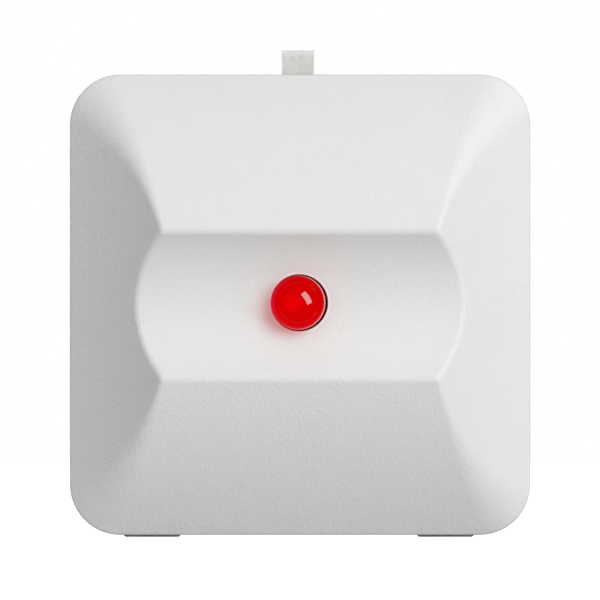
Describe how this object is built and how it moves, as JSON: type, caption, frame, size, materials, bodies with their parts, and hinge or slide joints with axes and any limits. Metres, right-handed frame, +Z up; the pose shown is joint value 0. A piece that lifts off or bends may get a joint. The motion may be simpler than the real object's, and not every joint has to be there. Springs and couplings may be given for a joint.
{
  "type": "remote indicator lamp",
  "caption": "Square wall-mounted remote indicator lamp: a domed cover with a trough across its front, a red lamp in the middle, and a clip-in base behind.",
  "frame": {"origin": "middle of the two wall screw slots, on the wall plane behind the base", "axes": "+Z up, +X to the right as seen from the front, -Y out of the wall towards the viewer"},
  "size_m": [0.082, 0.0269, 0.0866],
  "materials": {
    "cover_plastic": "white moulded plastic with a fine eroded grain",
    "base_plastic": "light grey translucent moulded plastic, smooth",
    "board_laminate": "green solder mask over glass laminate",
    "zinc_steel": "bright zinc plating",
    "tinned_steel": "tin plating",
    "red_epoxy": "clear red epoxy, glossy",
    "spacer_plastic": "black moulded nylon",
    "terminal_plastic": "green moulded polyamide",
    "cage_brass": "nickel flashed brass",
    "diode_case": "black moulded case with tinned wire ends",
    "resistor_lacquer": "tan lacquer with tinned wire ends",
    "transistor_case": "black moulded case"
  },
  "bodies": {
    "root": {"cover": "cover_plastic", "base": "base_plastic", "circuit_board": "board_laminate", "board_screws": "zinc_steel", "led_dome": "red_epoxy", "led_anode_lead": "tinned_steel", "led_cathode_lead": "tinned_steel", "led_spacer": "spacer_plastic", "terminal_housing": "terminal_plastic", "terminal_cage_1": "cage_brass", "terminal_cage_2": "cage_brass", "terminal_cage_3": "cage_brass", "terminal_cage_4": "cage_brass", "terminal_pin_1": "tinned_steel", "terminal_pin_2": "tinned_steel", "terminal_pin_3": "tinned_steel", "terminal_pin_4": "tinned_steel", "terminal_screws": "zinc_steel", "diode_1": "diode_case", "diode_2": "diode_case", "diode_3": "diode_case", "diode_4": "diode_case", "resistor_1": "resistor_lacquer", "resistor_2": "resistor_lacquer", "transistor": "transistor_case"}
  },
  "joints": []
}
